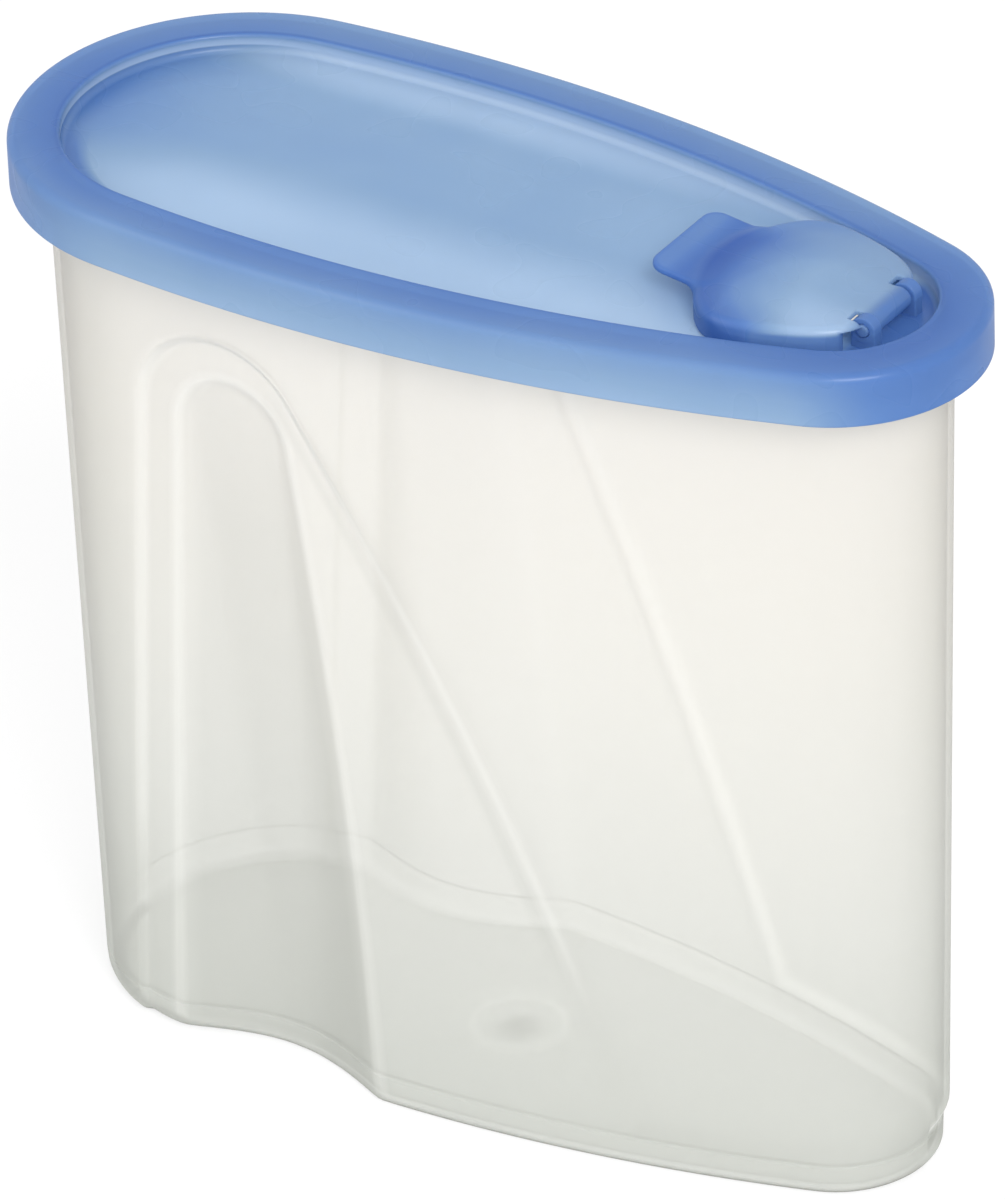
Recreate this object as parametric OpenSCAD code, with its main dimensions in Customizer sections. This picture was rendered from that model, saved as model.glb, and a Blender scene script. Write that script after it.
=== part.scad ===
// Cereal container with a lift-off lid and a flip spout.
// The plan is an egg of four arcs: a broad tail, a narrow pouring nose and two long bowed sides.
// X runs from the tail to the nose, Y across, Z up from the table. Millimetres.

/* [Lid plan] */
// Overall length of the lid
lid_len = 240; // [220:1:270]
// Radius of the broad tail end
tail_r = 50.9; // [48:0.1:54]
// Radius of the narrow pouring nose
nose_r = 34.4; // [32:0.1:38]
// Radius of each long side
side_r = 420; // [380:1:600]

/* [Lid section] */
// Height of the lid's rim above the table
rim_h = 220; // [210:1:260]
// Height of the skirt that hangs outside the container's mouth
skirt_h = 12.5; // [11:0.1:16]
// Wall thickness of the lid and the flap
lid_t = 1.5; // [1.2:0.1:1.8]
// Width of the raised rim band, from the skirt to the sunk panel
rim_w = 11.8; // [11:0.1:14]
// How far the panel lies below the rim
panel_drop = 4.2; // [3.5:0.1:5]
// How far the plug wall hangs below the rim inside the mouth
plug_h = 10.5; // [9:0.1:14]
// Radius of the rim's outer top edge
rim_round = 2.2; // [1:0.1:2.4]
// Radius of the rim's inner top edge
rim_inner_round = 0.8; // [0.4:0.1:1.2]
// Height of the snap bead above the skirt's lower edge
bead_up = 0.9; // [0.6:0.1:1.2]
// How far the snap bead stands in from the skirt
bead_out = 0.35; // [0.2:0.05:0.5]

/* [Fits] */
// Gap between the plug wall and the container's mouth
plug_gap = 0.3; // [0.25:0.05:0.4]
// Gap between the underside of the lid and the container's rim
seat_gap = 0.3; // [0.2:0.05:0.5]
// Gap between the snap bead and the container's rolled lip as the lid lifts
bead_gap = 0.35; // [0.25:0.05:0.5]
// Radial gap between a hinge pin and its eye
pin_gap = 0.06; // [0.03:0.01:0.1]
// Gap between the flap and what it closes on
flap_gap = 0.35; // [0.3:0.05:0.5]

/* [Container] */
// Wall thickness of the container
wall_t = 1.4; // [1.2:0.1:1.6]
// How far the tail end leans in towards the foot
tail_draft = 3.2; // [1:0.1:6]
// How far the nose end leans in towards the foot
nose_draft = 4; // [1:0.1:6]
// How far each side leans in towards the foot
side_draft = 1.2; // [0.5:0.1:3]
// Height of the rolled lip round the mouth
lip_h = 7.2; // [5:0.1:7.6]
// Thickness of the floor
floor_t = 2; // [1.6:0.1:3]
// How far the underside is raised inside the foot ring
foot_lift = 2.4; // [1:0.1:4]
// Width of the foot ring that stands on the table
foot_w = 3; // [2:0.1:5]
// Radius of the lower edge round the tail
foot_round_tail = 4; // [2:0.1:5]
// Radius of the lower edge round the nose
foot_round_nose = 1.6; // [1:0.1:3]
// Radius between the floor and the walls inside
floor_round = 3; // [1:0.1:5]
// Distance from the nose tip of the lid to the moulding gate in the floor
gate_back = 123; // [110:1:130]
// Radius of the faint ring round the gate
gate_ring_r = 11; // [9:0.5:14]
// Radius of the gate's dimple
gate_r = 6.5; // [4:0.5:8]
// Depth of the gate's dimple
gate_d = 0.7; // [0.3:0.1:1]

/* [Shallow shelf on each side] */
// Depth of the shelf behind the outer wall
shelf_d = 1.4; // [0.8:0.1:2.2]
// Width of the sloping step at the shelf's edge
step_w = 1.6; // [1:0.1:2.5]
// Distance from the tail tip of the lid to the middle of the shelf's arch
shelf_x = 72.5; // [68:0.5:78]
// Radius of the shelf's arch
shelf_r = 23; // [21:0.5:26]
// Distance from the rim down to the centre of the shelf's arch
shelf_drop = 51; // [46:0.5:60]
// How far the shelf's rear edge moves to the tail on its way to the foot
shelf_lean = 13.5; // [4:0.5:16]
// Angle on the arch at which the long sweep to the nose leaves it
sweep_from = 28.6; // [20:0.1:40]
// Distance from the nose tip of the lid to the foot of the sweep
sweep_back = 65; // [55:1:80]
// How far the sweep bows out at its middle
sweep_bow = 8.5; // [0:0.5:12]
// Height of the shelf round the foot
shelf_foot_h = 9.4; // [7:0.1:14]

/* [Deep grip on each side] */
// Distance from the tail tip of the lid to the middle of the grip's arch
grip_x = 75; // [72:0.5:78]
// Radius of the grip's arch
grip_r = 15; // [12:0.5:17]
// Distance from the rim down to the centre of the grip's arch
grip_drop = 53.4; // [50:0.5:62]
// Depth of the grip at the top of its arch
grip_top_d = 0.8; // [0.4:0.1:1.5]
// Depth of the grip at the foot
grip_foot_d = 9; // [6:0.5:10]
// How far the grip's rear edge moves to the tail on its way to the foot
grip_lean = 11.7; // [4:0.5:13]
// How far the grip's front edge moves to the nose on its way to the foot
grip_spread = 15.5; // [8:0.5:20]
// How far the grip's front edge bows out at its middle
grip_bow = 2.6; // [0:0.1:5]
// Steepness of the grip's two sides where they leave the shelf
grip_slope = 0.48; // [0.4:0.01:0.8]

/* [Pour flap] */
// Height of the flap's edge above the rim
flap_rise = 2.6; // [2:0.1:3.5]
// Extra height of the flap's crown
flap_crown = 0.6; // [0.2:0.1:1]
// Radius of the flap's top edge
flap_round = 2; // [1:0.1:2.5]
// Gap between the flap's long sides and the wall of the rim
flap_side_gap = 2.2; // [1:0.1:4]
// Radius of the flap's round rear edge
flap_tail_r = 31.5; // [29:0.5:34]
// Radius of the flap's round front edge
flap_nose_r = 26.5; // [24:0.5:30]
// Length of the flap without its tab
flap_len = 45.7; // [42:0.1:50]
// Distance from the nose tip of the lid to the hinge axis
hinge_back = 21.2; // [19:0.1:24]
// Radius of the hinge knuckle
knuckle_r = 2.4; // [2.1:0.1:3]
// Radius of the hinge pins
pin_r = 1.5; // [1:0.1:1.7]
// Distance from the middle to the inner face of each hinge ear
ear_in = 7; // [5:0.1:8]
// Thickness of each hinge ear
ear_t = 3; // [2:0.1:3.4]
// Wall of a hinge ear round its eye
ear_wall = 1.5; // [1.2:0.1:1.8]
// Gap between a hinge ear and the flap beside it
ear_gap = 0.45; // [0.3:0.05:0.8]
// Length of the thumb tab behind the flap
tab_len = 11; // [8:0.5:14]
// Width of the thumb tab
tab_w = 27; // [20:0.5:32]
// Thickness of the thumb tab
tab_t = 1.7; // [1.2:0.1:2.2]
// Radius of the thumb tab's corners
tab_round = 4; // [2:0.5:6]
// Angle at which the thumb tab rises to its tip
tab_tilt = 8; // [0:1:12]

/* [Pour mouth] */
// Height of the collar round the pour mouth
collar_h = 1.6; // [1:0.1:2]
// Thickness of that collar
collar_t = 1.2; // [0.8:0.1:1.6]
// Gap between the collar and the wall of the flap, which swings back past it as it opens
collar_gap = 0.9; // [0.8:0.1:1.5]
// Distance from the hinge axis back to the mouth's straight front edge
mouth_back = 7; // [6.5:0.1:9]

/* [Hidden] */
$fn = 96;

// Centres and joints of the four arcs
tail_x = -lid_len / 2 + tail_r;
nose_x = lid_len / 2 - nose_r;
arc_span = nose_x - tail_x;
tail_reach = side_r - tail_r;
nose_reach = side_r - nose_r;
side_x = tail_x + (tail_reach ^ 2 - nose_reach ^ 2 + arc_span ^ 2) / (2 * arc_span);
side_y = sqrt(tail_reach ^ 2 - (side_x - tail_x) ^ 2);
tail_angle = atan2(side_y, tail_x - side_x);
nose_angle = atan2(side_y, nose_x - side_x);

// The container's outer wall, measured in from the lid's outline
wall_in = rim_w - lid_t - plug_gap - wall_t;
body_tail_r = tail_r - wall_in;
body_nose_r = nose_r - wall_in;
body_side_r = side_r - wall_in;
tail_join_x = tail_x + cos(tail_angle) * body_tail_r;
nose_join_x = nose_x + cos(nose_angle) * body_nose_r;
tail_tip_x = tail_x - body_tail_r;
nose_tip_x = nose_x + body_nose_r;
body_len = nose_tip_x - tail_tip_x;
body_half_w = body_side_r - side_y;

// Heights
skirt_z = rim_h - skirt_h;
panel_z = rim_h - panel_drop;
body_h = rim_h - lid_t - seat_gap;
floor_z = foot_lift + floor_t;
shelf_arch_z = rim_h - shelf_drop;
grip_arch_z = rim_h - grip_drop;

// The shelf and the grip in the side view
shelf_mid_x = -lid_len / 2 + shelf_x;
grip_mid_x = -lid_len / 2 + grip_x;
sweep_top_z = shelf_arch_z + shelf_r * sin(sweep_from);
sweep_top_x = shelf_mid_x + shelf_r * cos(sweep_from);
sweep_foot_x = lid_len / 2 - sweep_back;
grip_end = 0.3 * grip_r;
shelf_end = grip_end + abs(shelf_mid_x - grip_mid_x) + 2 * step_w;

// The rolled lip
lip_out = wall_in - lid_t - bead_out - bead_gap;
lip_round = 0.7;

// The hinge and the flap
hinge_x = lid_len / 2 - hinge_back;
flap_top_z = rim_h + flap_rise;
hinge_z = flap_top_z - knuckle_r;
flap_front_x = hinge_x + knuckle_r;
flap_rear_x = flap_front_x - flap_len;
flap_low_z = panel_z + flap_gap;
ear_r = pin_r + ear_wall;
overlap = 0.4;

// Part of the way from a to b
function mix(a, b, t) = a + (b - a) * t;
function ramp(t) = min(1, max(0, t));

// Half width and outward normal of the container's plan at x
function half_y(x) =
    x < tail_join_x ? sqrt(max(0, body_tail_r ^ 2 - (x - tail_x) ^ 2))
    : x < nose_join_x ? sqrt(body_side_r ^ 2 - (x - side_x) ^ 2) - side_y
    : sqrt(max(0, body_nose_r ^ 2 - (x - nose_x) ^ 2));
function normal(x) =
    x < tail_join_x ? [x - tail_x, half_y(x)] / body_tail_r
    : x < nose_join_x ? [x - side_x, half_y(x) + side_y] / body_side_r
    : [x - nose_x, half_y(x)] / body_nose_r;

// Half width of an arch at height z, never quite closed
function arch_half(r, centre_z, z, least) = sqrt(max(r ^ 2 - (z - centre_z) ^ 2, least ^ 2));

// Edges of the shelf at height z, moved in by inset
function shelf_half(z, inset) = arch_half(shelf_r - inset, shelf_arch_z, z, shelf_end - inset);
function shelf_rear(z, inset = 0) =
    z > shelf_arch_z ? shelf_mid_x - shelf_half(z, inset)
    : shelf_mid_x - shelf_r + inset - shelf_lean * (1 - z / shelf_arch_z);
function sweep(t) = mix(sweep_foot_x, sweep_top_x, t) + 4 * sweep_bow * t * (1 - t);
function shelf_front(z, inset = 0) =
    z > sweep_top_z ? shelf_mid_x + shelf_half(z, inset) : sweep(z / sweep_top_z) - inset;

// Edges of the grip at height z
function grip_rear(z) =
    z > grip_arch_z ? grip_mid_x - arch_half(grip_r, grip_arch_z, z, grip_end)
    : grip_mid_x - grip_r - grip_lean * (1 - z / grip_arch_z);
function grip_edge(t) = grip_mid_x + grip_r + grip_spread * t + 4 * grip_bow * t * (1 - t);
function grip_front(z) =
    z > grip_arch_z ? grip_mid_x + arch_half(grip_r, grip_arch_z, z, grip_end)
    : grip_edge(1 - z / grip_arch_z);

// Depth of the grip's floor, and how far each of its sides takes to reach it
grip_top_z = grip_arch_z + grip_r;
function grip_floor(z) = z > grip_top_z ? 0 : mix(grip_foot_d, grip_top_d, z / grip_top_z);
function grip_side(z) =
    min(grip_floor(z) * PI / 2 / grip_slope, 0.49 * (grip_front(z) - grip_rear(z)));
function grip(x, z) =
    grip_floor(z) * min(
        sin(90 * ramp((x - grip_rear(z)) / max(grip_side(z), 0.1))),
        sin(90 * ramp((grip_front(z) - x) / max(grip_side(z), 0.1))));

// How far a point of the side view lies inside the shelf's edges, and the depth that gives.
// The shelf runs on round the foot.
function arch_in(x, z) = shelf_r - norm([x - shelf_mid_x, z - shelf_arch_z]);
function rear_in(x, z) =
    z > shelf_arch_z && x <= shelf_mid_x ? arch_in(x, z) : x - shelf_rear(z);
function front_in(x, z) =
    z < shelf_foot_h ? step_w
    : z > sweep_top_z && x > shelf_mid_x ? arch_in(x, z) : shelf_front(z) - x;
function shelf(x, z) = shelf_d * ramp(min(rear_in(x, z), front_in(x, z)) / step_w);

// Columns of the container's mesh at height z, from the tail tip to the nose tip
tail_cols = 9;
grip_cols = 4;
face_cols = 6;
flank_cols = 7;
nose_cols = 12;
nose_start_x = max(nose_x - body_nose_r / 3, sweep_foot_x + 2 * step_w);
function cols(z) =
    let (a = shelf_rear(z), b = grip_rear(z), c = grip_front(z), d = shelf_front(z),
         a_in = shelf_rear(z, step_w), d_in = shelf_front(z, step_w), s = grip_side(z))
    concat(
        [for (i = [0:tail_cols - 1]) mix(tail_tip_x, a, 1 - cos(90 * i / tail_cols))],
        [a, a_in, mix(a_in, b, 0.5)],
        [for (i = [0:grip_cols]) b + s * i / grip_cols],
        [for (i = [0:grip_cols]) c - s * (1 - i / grip_cols)],
        [for (i = [1:face_cols]) mix(c, d_in, i / face_cols)],
        [for (i = [0:flank_cols - 1]) mix(d, nose_start_x, i / flank_cols)],
        [for (i = [0:nose_cols]) mix(nose_start_x, nose_tip_x, sin(90 * i / nose_cols))]);

// One ring of the container: inset is measured in from the outer wall, and the draft
// narrows the whole plan towards the foot
function ring(feature_z, z, inset) =
    let (k = max(0, 1 - feature_z / skirt_z),
         grow_x = (body_len - (tail_draft + nose_draft) * k) / body_len,
         grow_y = (body_half_w - side_draft * k) / body_half_w,
         half = [for (x = cols(feature_z))
             let (n = normal(x), d = inset + grip(x, feature_z) + shelf(x, feature_z))
             [tail_tip_x + tail_draft * k + (x - n[0] * d - tail_tip_x) * grow_x,
              max(0, half_y(x) - n[1] * d) * grow_y, z]],
         last = len(half) - 1)
    concat(half, [for (i = [last - 1:-1:1]) [half[i][0], -half[i][1], half[i][2]]]);

// A round ring about the gate whose points face those of the foot ring
gate_x = lid_len / 2 - gate_back;
function round_ring(r, z) = [for (p = ring(0, 0, foot_w))
    let (a = atan2(p[1], p[0] - gate_x)) [gate_x + r * cos(a), r * sin(a), z]];

// The lower edge has a larger radius round the tail than round the nose
function foot_round(x) = mix(foot_round_tail, foot_round_nose, ramp((x - tail_x) / (side_x - tail_x)));
function foot_ring(t) =
    let (whole = ring(0, 0, 0), inner = ring(0, 0, 1))
    [for (i = [0:len(whole) - 1])
        let (p = whole[i], r = foot_round(p[0]), q = mix(p, inner[i], r * (1 - cos(90 * t))))
        [q[0], q[1], r * (1 - sin(90 * t))]];

// Heights at which the side walls get a ring
wall_levels = concat(
    [foot_round_tail + 1, shelf_foot_h - 0.1, shelf_foot_h + step_w],
    [for (i = [1:5]) mix(shelf_foot_h, grip_arch_z, i / 5.9)],
    [grip_arch_z],
    [for (a = [25, 45, 62, 78]) grip_arch_z + grip_r * sin(a)],
    [grip_top_z + 0.2],
    [for (a = [45, 56, 65]) shelf_arch_z + shelf_r * sin(a)],
    [for (i = [2:-1:0]) shelf_arch_z + shelf_r - step_w * i / 2],
    [skirt_z]);
inner_levels = [for (z = wall_levels) if (z > floor_z + floor_round) z];
fold = foot_round_tail + 1;

container_rings = concat(
    [round_ring(gate_r - 1, foot_lift - gate_d), round_ring(gate_r, foot_lift),
     round_ring(gate_ring_r, foot_lift)],
    [ring(0, foot_lift, foot_w + foot_round_tail + 1),
     ring(0, 0, foot_w + foot_round_tail)],
    [for (t = [1, 0.67, 0.33]) foot_ring(t)],
    [for (z = wall_levels) ring(z, z, 0)],
    [ring(skirt_z, body_h - wall_t - lip_round, 0),
     ring(skirt_z, body_h - wall_t, -lip_round),
     ring(skirt_z, body_h - wall_t, wall_t - lip_out),
     ring(skirt_z, body_h - lip_h, wall_t - lip_out),
     ring(skirt_z, body_h - lip_h, -lip_out),
     ring(skirt_z, body_h - lip_round, -lip_out),
     ring(skirt_z, body_h, lip_round - lip_out),
     ring(skirt_z, body_h, wall_t - lip_round / 2),
     ring(skirt_z, body_h - lip_round, wall_t)],
    [for (i = [len(inner_levels) - 1:-1:0]) ring(inner_levels[i], inner_levels[i], wall_t)],
    [for (t = [0, 0.5, 1])
        ring(fold, floor_z + floor_round * (1 - sin(90 * t)), wall_t + floor_round * (1 - cos(90 * t)))],
    [round_ring(gate_ring_r, floor_z), round_ring(gate_r, floor_z - 0.2)]);

// Joins rings of equal length into one closed solid
module closed_rings(rings) {
    m = len(rings);
    n = len(rings[0]);
    sides = [for (j = [0:m - 2]) for (i = [0:n - 1])
        let (a = j * n + i, b = j * n + (i + 1) % n) each [[a, a + n, b + n], [a, b + n, b]]];
    first = [for (i = [n - 1:-1:0]) i];
    last = [for (i = [0:n - 1]) (m - 1) * n + i];
    polyhedron(points = [for (r = rings) each r], faces = concat(sides, [first], [last]));
}

module container_body() {
    color([0.96, 0.955, 0.93])
        closed_rings(container_rings);
}

// Sweeps a section round the lid's outline. The section's x is the distance out from the
// outline, and each arc is a true revolve.
module sweep_outline(section) {
    module arc(radius, from, to)
        rotate([0, 0, from])
            rotate_extrude(angle = to - from, $fn = 288)
                polygon([for (p = section) [p[0] + radius, p[1]]]);
    translate([tail_x, 0, 0])
        arc(tail_r, tail_angle, 360 - tail_angle);
    translate([nose_x, 0, 0])
        arc(nose_r, -nose_angle, nose_angle);
    translate([side_x, -side_y, 0])
        arc(side_r, nose_angle, tail_angle);
    translate([side_x, side_y, 0])
        arc(side_r, -tail_angle, -nose_angle);
}

// Points of a quarter circle from angle a to b
function quarter(centre, r, a, b) =
    [for (i = [0:4]) centre + r * [cos(mix(a, b, i / 4)), sin(mix(a, b, i / 4))]];

// The lid's outline, moved in by inset, as one polygon for the flat panel. None of its points
// lies where two arcs of the rim join.
function arc_points(n, centre, r, from, to) =
    [for (i = [0.5:n]) centre + r * [cos(mix(from, to, i / n)), sin(mix(from, to, i / n))]];
function lid_plan(inset) = concat(
    arc_points(24, [nose_x, 0], nose_r - inset, -nose_angle, nose_angle),
    arc_points(24, [side_x, -side_y], side_r - inset, nose_angle, tail_angle),
    arc_points(36, [tail_x, 0], tail_r - inset, tail_angle, 360 - tail_angle),
    arc_points(24, [side_x, side_y], side_r - inset, -tail_angle, -nose_angle));

// Section of the rim: skirt with its snap bead, flat top and plug wall
rim_section = concat(
    [[0, skirt_z]],
    quarter([-rim_round, rim_h - rim_round], rim_round, 0, 90),
    quarter([-rim_w + rim_inner_round, rim_h - rim_inner_round], rim_inner_round, 90, 180),
    [[-rim_w, rim_h - plug_h], [-rim_w + lid_t, rim_h - plug_h],
     [-rim_w + lid_t, rim_h - lid_t], [-lid_t, rim_h - lid_t],
     [-lid_t, skirt_z + bead_up + 2 * bead_out], [-lid_t - bead_out, skirt_z + bead_up + bead_out],
     [-lid_t - bead_out, skirt_z + bead_up], [-lid_t, skirt_z + bead_up - bead_out]],
    [[-lid_t, skirt_z]]);

// The flap's outline, moved in by inset. Seen from a point inside it, it is the nearest of
// four arcs in each direction: two round ends and the two long sides. A high power blends
// the four where they meet, which rounds the corners.
corner_power = 16;
flap_eye = [flap_front_x - flap_len * 0.4, 0];
function arc_at(dir, centre, r) =
    let (m = centre - flap_eye, along = dir * m) along + sqrt(along ^ 2 - m * m + r ^ 2);
function flap_outline(inset) =
    let (long_r = side_r - rim_w - flap_side_gap - inset)
    [for (i = [0:$fn - 1])
        let (a = 360 * i / $fn, dir = [cos(a), sin(a)])
        flap_eye + dir * (
            arc_at(dir, [flap_rear_x + flap_tail_r, 0], flap_tail_r - inset) ^ -corner_power
            + arc_at(dir, [flap_front_x - flap_nose_r, 0], flap_nose_r - inset) ^ -corner_power
            + arc_at(dir, [side_x, -side_y], long_r) ^ -corner_power
            + arc_at(dir, [side_x, side_y], long_r) ^ -corner_power) ^ (-1 / corner_power)];
function flap_ring(inset, z) = [for (p = flap_outline(inset)) [p[0], p[1], z]];

mouth_inset = lid_t + collar_gap + collar_t;
mouth_front_x = hinge_x - mouth_back;

// Plan of the pour mouth, grown by the collar's thickness or not
module mouth_plan(grow) {
    intersection() {
        polygon(flap_outline(mouth_inset - grow));
        translate([flap_rear_x, -lid_len / 2])
            square([mouth_front_x + grow - flap_rear_x, lid_len]);
    }
}

module hinge_cylinder(r, half_len) {
    translate([hinge_x, half_len, hinge_z])
        rotate([90, 0, 0])
            cylinder(r = r, h = 2 * half_len);
}

// One ear of the hinge, on the positive side
module hinge_ear() {
    translate([hinge_x, ear_in + ear_t, hinge_z])
        rotate([90, 0, 0])
            cylinder(r = ear_r, h = ear_t);
    translate([hinge_x - ear_r, ear_in, panel_z - overlap])
        cube([2 * ear_r, ear_t, hinge_z - panel_z + overlap]);
}

module lid() {
    color([0.42, 0.58, 0.84])
        difference() {
            union() {
                sweep_outline(rim_section);
                translate([0, 0, panel_z - lid_t])
                    linear_extrude(lid_t)
                        polygon(lid_plan(rim_w - lid_t / 2));
                translate([0, 0, panel_z - lid_t])
                    linear_extrude(lid_t + collar_h)
                        mouth_plan(collar_t);
                hinge_ear();
                mirror([0, 1, 0])
                    hinge_ear();
            }
            translate([0, 0, panel_z - 2 * lid_t])
                linear_extrude(3 * lid_t + collar_h)
                    mouth_plan(0);
            hinge_cylinder(pin_r + pin_gap, ear_in + ear_t + 1);
        }
}

// Profile of the flap's dome: distance in from its outline, and height. Its crown is low.
crown_inset = 4 * flap_round;
dome_profile = concat(
    [[0, flap_low_z]],
    [for (a = [0, 30, 60, 90])
        [flap_round * (1 - cos(a)), flap_top_z - flap_round * (1 - sin(a))]],
    [[crown_inset, flap_top_z + flap_crown]]);

// The dome is a thin cup, open below
module dome() {
    outer = [for (p = dome_profile) flap_ring(p[0], p[1])];
    inner = [for (p = dome_profile) flap_ring(p[0] + lid_t, max(flap_low_z, p[1] - lid_t))];
    closed_rings(concat([for (i = [len(inner) - 1:-1:0]) inner[i]], outer));
}

// Gap in the flap in which one hinge ear stands and turns
ear_slot = ear_r + ear_gap;
module ear_slot() {
    translate([hinge_x - ear_slot, ear_in - ear_gap, flap_low_z - 1])
        cube([flap_len, ear_t + 2 * ear_gap, flap_len]);
}

// The thumb tab, flat, with its root on the flap's rear edge
tab_root = 5;
module tab_plan() {
    half = tab_w / 2 - tab_round;
    translate([-tab_len + tab_round, -half])
        square([tab_len - tab_round + tab_root, 2 * half]);
    for (side = [-1, 1])
        translate([-tab_len + tab_round, side * half])
            circle(r = tab_round);
    translate([-tab_len + tab_round, -tab_w / 2])
        square([tab_len - tab_round + tab_root, tab_w]);
    translate([-tab_len, -half])
        square([tab_round, 2 * half]);
}

module tab() {
    translate([flap_rear_x + flap_round, 0, flap_top_z])
        rotate([0, tab_tilt, 0])
            translate([0, 0, -tab_t])
                linear_extrude(tab_t)
                    tab_plan();
}

module pour_flap() {
    color([0.55, 0.7, 0.9])
        union() {
            difference() {
                union() {
                    dome();
                    tab();
                }
                translate([hinge_x - knuckle_r - ear_gap, -flap_len, flap_low_z - 1])
                    cube([flap_len, 2 * flap_len, flap_top_z - lid_t - flap_low_z + 1]);
                ear_slot();
                mirror([0, 1, 0])
                    ear_slot();
            }
            hinge_cylinder(knuckle_r, ear_in - ear_gap);
            hinge_cylinder(pin_r, ear_in + ear_t + ear_gap);
        }
}

container_body();
lid();
pour_flap();
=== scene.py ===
import math

import bpy
import numpy as np
from mathutils import Matrix, Vector


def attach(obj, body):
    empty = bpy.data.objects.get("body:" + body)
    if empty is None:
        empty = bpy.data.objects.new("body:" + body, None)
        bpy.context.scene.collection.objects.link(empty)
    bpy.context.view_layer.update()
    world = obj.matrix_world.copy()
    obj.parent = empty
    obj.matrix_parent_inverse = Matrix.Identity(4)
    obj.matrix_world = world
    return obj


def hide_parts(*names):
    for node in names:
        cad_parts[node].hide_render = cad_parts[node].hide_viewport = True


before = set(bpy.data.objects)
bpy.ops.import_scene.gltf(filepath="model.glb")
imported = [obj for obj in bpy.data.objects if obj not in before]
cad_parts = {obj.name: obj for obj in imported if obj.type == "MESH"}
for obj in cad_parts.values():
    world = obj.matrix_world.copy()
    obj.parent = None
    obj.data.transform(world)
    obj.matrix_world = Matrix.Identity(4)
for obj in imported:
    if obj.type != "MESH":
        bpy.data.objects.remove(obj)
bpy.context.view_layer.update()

# Every size below is in millimetres, as in the part's own drawing, and MM brings it to metres
MM = 0.001

# Plan of the lid: an egg of four arcs
LID_LEN = 240.0
TAIL_R = 50.9
NOSE_R = 34.4
SIDE_R = 420.0

# Section of the lid
RIM_H = 220.0
SKIRT_H = 12.5
LID_T = 1.5
RIM_W = 11.8
PANEL_DROP = 4.2
PLUG_H = 10.5
RIM_ROUND = 2.2
RIM_INNER_ROUND = 0.8
PANEL_FILLET = 1.4
BEAD_UP = 0.9
BEAD_OUT = 0.35
EDGE_ROUND = 0.35
OUTLINE_IN = 0.03

# Fits
PLUG_GAP = 0.3
SEAT_GAP = 0.3
BEAD_GAP = 0.35
PIN_GAP = 0.06
FLAP_GAP = 0.35

# Container
WALL_T = 1.4
TAIL_DRAFT = 3.2
NOSE_DRAFT = 4.0
SIDE_DRAFT = 1.2
LIP_H = 7.2
LIP_ROUND = 0.7
FLOOR_T = 1.1
FOOT_LIFT = 0.6
FOOT_RIM_W = 0.4
FOOT_SLOPE_W = 0.6
FOOT_ROUND_TAIL = 4.0
FOOT_ROUND_NOSE = 1.6
FLOOR_ROUND = 0.9
GATE_BACK = 123.0
GATE_RING_R = 11.0
GATE_R = 6.5
GATE_D = 0.4
RING_DIP = 0.15

# Section of the gate outside and inside: share of its radius, then its rise or its dip
GATE_OUTSIDE = ((0.05, 0), (0.5, 0), (0.85, 0.03), (0.95, 0.3), (1.05, 0.85), (1.15, 1.0))
GATE_INSIDE = ((1.2, 0), (1.0, 0.03), (0.75, 0.1), (0.5, 0.17), (0.3, 0.2), (0.05, 0.2))

# Shallow shelf on each side of the container: its sweep bows less and is crisper on the far side
SHELF_D = 1.4
STEP_W = 1.6
SHELF_X = 72.5
SHELF_R = 23.0
SHELF_DROP = 51.0
SHELF_LEAN = 13.5
SWEEP_FROM = 28.6
SWEEP_BACK = 65.0
NEAR_BOW = 8.5
FAR_BOW = 2.0
NEAR_SOFT = 5.0
FAR_SOFT = 0.5
STEP_EASE = 0.5
SHELF_FOOT_H = 9.4

# Deep grip on each side of the container
GRIP_X = 75.0
GRIP_R = 15.0
GRIP_DROP = 53.4
GRIP_TOP_D = 0.8
GRIP_FOOT_D = 9.0
GRIP_LEAN = 11.7
GRIP_SPREAD = 15.5
GRIP_BOW = 2.6
GRIP_SLOPE = 0.48
EDGE_EASE = 1.6

# Painted highlights and painted shade on the milky plastic: their strength from 0 to 1, their place and
# their width
# Painted highlight along the shelf's step, fading out low on the near side; the step marks also scale the
# painted shade line beside it
STEP_MARK_NEAR = 0.3
STEP_MARK_FAR = 0.9
STEP_MARK_SPREAD = 1.6
STEP_MARK_LOW_Z = 35.0
STEP_MARK_RISE = 30.0
# Painted shade line inside the shelf's step, beside its painted highlight
LINE_SHADE = 0.5
LINE_IN = 3.2
LINE_W = 2.6
LINE_START = 5.0
LINE_RISE = 20.0
# Painted highlight on the grip's rounded edges
EDGE_HIGHLIGHT = 0.3
EDGE_HIGHLIGHT_OUT = 0.4
EDGE_HIGHLIGHT_W = 2.4
# Painted shade in the grip, deepest where it is pressed in deepest
HOLLOW_SHADE = 0.22
HOLLOW_SHADE_FULL_D = 2.5
# Painted highlight on the gate's ring, outside and inside
RING_HIGHLIGHT = 0.8
FLOOR_RING_HIGHLIGHT = 0.6
# Painted highlight along the far side of the foot
FOOT_HIGHLIGHT = 0.9
FOOT_HIGHLIGHT_FROM_X = -30.0
FOOT_HIGHLIGHT_RISE = 25.0
FOOT_SHADE_H = 1.6

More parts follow.
